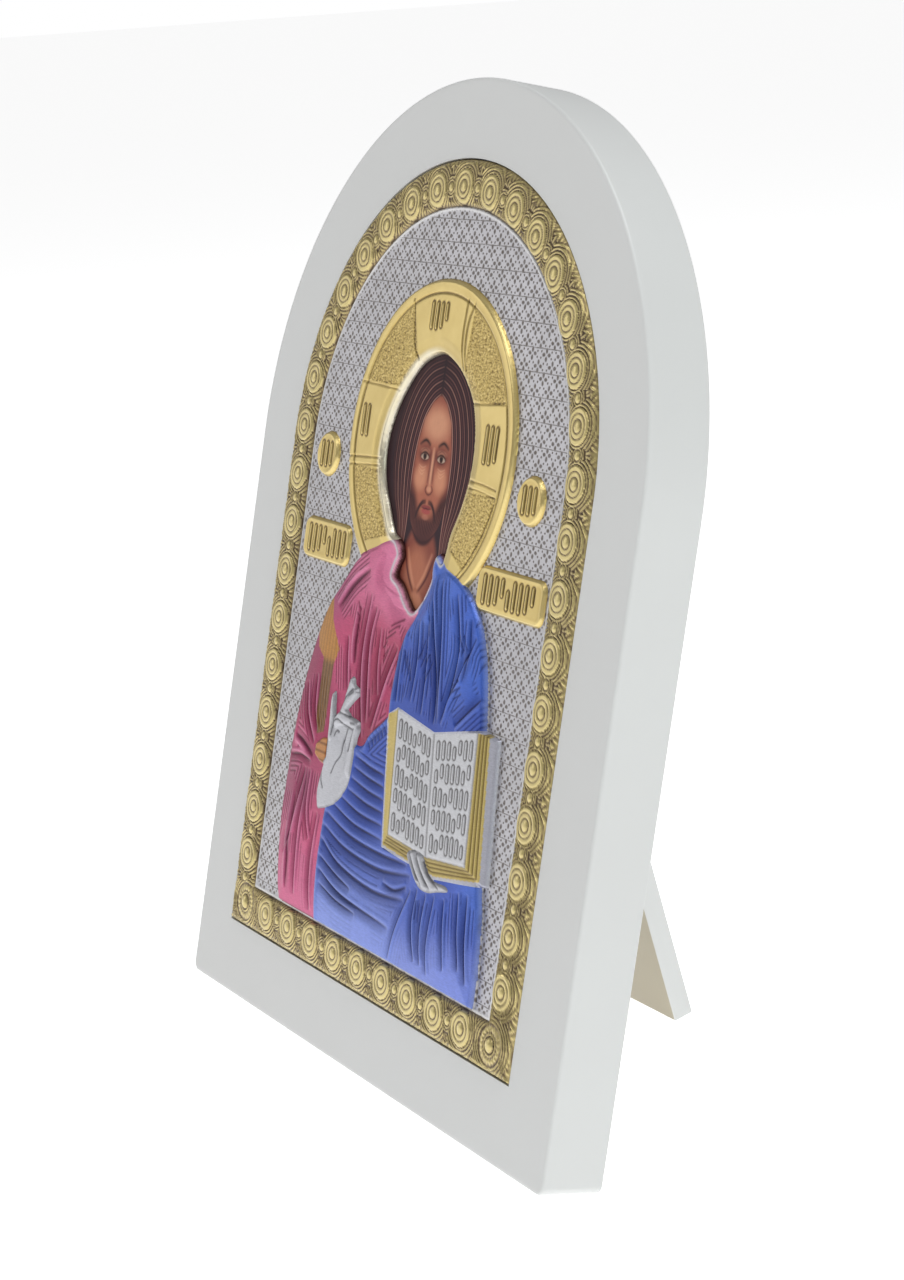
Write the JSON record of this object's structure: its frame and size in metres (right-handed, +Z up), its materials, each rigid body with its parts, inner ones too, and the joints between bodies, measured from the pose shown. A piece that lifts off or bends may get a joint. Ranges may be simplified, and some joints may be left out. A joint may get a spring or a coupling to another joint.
{
  "type": "icon panel with an easel leg",
  "caption": "Arched painted board with an embossed plate over a painted picture in a pocket of its front, standing on a leg hinged to its back.",
  "frame": {"origin": "on the ground, under the middle of the bounding box", "axes": "+Z up, -Y towards the viewer of the picture, +X to that viewer's right; the board leans back about X"},
  "size_m": [0.2, 0.0976, 0.257],
  "materials": {
    "white_paint": "satin white paint on fibreboard",
    "picture_paint": "painted picture, satin varnish",
    "embossed_metal": "embossed silver sheet, part gilded and part painted",
    "hinge_steel": "plain bright steel"
  },
  "bodies": {
    "board": {"frame_board": "white_paint", "picture_panel": "picture_paint", "relief_plate": "embossed_metal", "hinge_leaf_board": "hinge_steel", "hinge_pin": "hinge_steel"},
    "leg": {"easel_leg": "white_paint", "hinge_leaf_leg": "hinge_steel"}
  },
  "joints": [
    {"name": "leg_fold", "type": "hinge", "parent": "board", "child": "leg", "pos_m": [0, 0.00586, 0.1507], "axis": [1, 0, 0], "range_deg": [-26.8, 0]}
  ]
}
